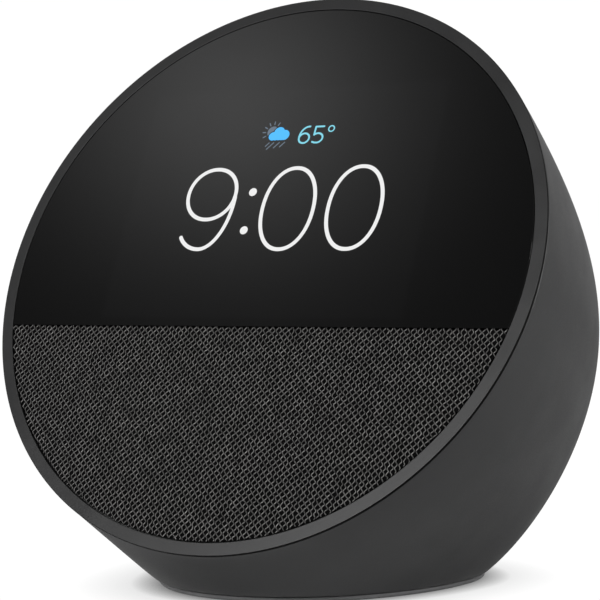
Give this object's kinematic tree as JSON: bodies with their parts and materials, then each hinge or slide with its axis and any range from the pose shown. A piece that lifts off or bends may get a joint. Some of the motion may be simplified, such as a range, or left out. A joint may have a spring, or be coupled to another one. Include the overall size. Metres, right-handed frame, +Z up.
{
  "type": "smart display",
  "caption": "Round tilted-face smart display with a glass clock panel over a cloth speaker grille, a domed shell, push buttons on top and an oval foot.",
  "frame": {"origin": "middle of the foot pad's underside, on the table", "axes": "+Z up, the face looks towards -Y and leans back, +X to the viewer's right"},
  "size_m": [0.113, 0.103, 0.112],
  "materials": {
    "shell_plastic": "fine moulded texture, charcoal",
    "rim_plastic": "smooth satin, charcoal",
    "cover_glass": "polished, black printed behind",
    "speaker_cloth": "open woven net, charcoal",
    "inner_plastic": "moulded, dark grey",
    "black_plastic": "moulded, black",
    "lcd_cell": "polished",
    "adhesive_foam": "closed-cell foam",
    "steel": "plated",
    "aluminium": "brushed",
    "magnet_nickel": "nickel plated",
    "copper": "enamelled winding",
    "cone_paper": "pressed fibre",
    "spider_cloth": "resin-stiffened cloth",
    "soft_rubber": "matte",
    "circuit_board": "solder mask",
    "flex_film": "polyimide film",
    "chip_resin": "moulded epoxy",
    "thermal_silicone": "soft pad",
    "wire_red": "insulated wire",
    "wire_yellow": "insulated wire",
    "foot_silicone": "matte silicone"
  },
  "bodies": {
    "housing": {"rim_ring": "rim_plastic", "cover_glass": "cover_glass", "glass_adhesive": "adhesive_foam", "speaker_fabric": "speaker_cloth", "grille_plate": "black_plastic", "lcd_panel": "lcd_cell", "backlight_tray": "steel", "lcd_flex": "flex_film", "front_chassis": "inner_plastic", "mount_ring": "inner_plastic", "chassis_screws": "steel", "speaker_gasket": "adhesive_foam", "speaker_basket": "steel", "surround": "soft_rubber", "spider": "spider_cloth", "top_plate": "steel", "magnet": "magnet_nickel", "pole_yoke": "steel", "driver_screws": "steel", "speaker_box": "inner_plastic", "speaker_wires": "wire_red", "main_board": "circuit_board", "board_screws": "steel", "shield_can": "steel", "board_chips": "chip_resin", "thermal_pad": "thermal_silicone", "heat_spreader": "aluminium", "rear_shell": "shell_plastic", "button_bracket": "inner_plastic", "button_board": "circuit_board", "button_switches": "steel", "microphones": "copper", "microphone_boots": "soft_rubber", "button_flex": "flex_film", "antenna": "flex_film", "power_socket": "black_plastic", "socket_trim": "shell_plastic", "socket_board": "circuit_board", "power_wires": "wire_yellow", "base_frame": "inner_plastic", "base_plate": "inner_plastic", "base_screws": "steel", "ballast_weight": "steel", "foot_pad": "foot_silicone"},
    "volume_down_button": {"volume_down_button": "shell_plastic"},
    "mute_button": {"mute_button": "shell_plastic"},
    "volume_up_button": {"volume_up_button": "shell_plastic"},
    "cone": {"speaker_cone": "cone_paper", "dust_cap": "cone_paper", "voice_coil": "copper"}
  },
  "joints": [
    {"name": "volume_down_press", "type": "slide", "parent": "housing", "child": "volume_down_button", "axis": [0, 0.573, 0.8196], "range_m": [-0.0004, 0], "stiffness_N_per_m": 3000},
    {"name": "mute_press", "type": "slide", "parent": "housing", "child": "mute_button", "axis": [0, 0.573, 0.8196], "range_m": [-0.0004, 0], "stiffness_N_per_m": 3000},
    {"name": "volume_up_press", "type": "slide", "parent": "housing", "child": "volume_up_button", "axis": [0, 0.573, 0.8196], "range_m": [-0.0004, 0], "stiffness_N_per_m": 3000},
    {"name": "cone_travel", "type": "slide", "parent": "housing", "child": "cone", "axis": [0, -0.91, 0.4147], "range_m": [-0.0008, 0.0008], "stiffness_N_per_m": 2500, "deforming": ["surround", "spider"]}
  ]
}
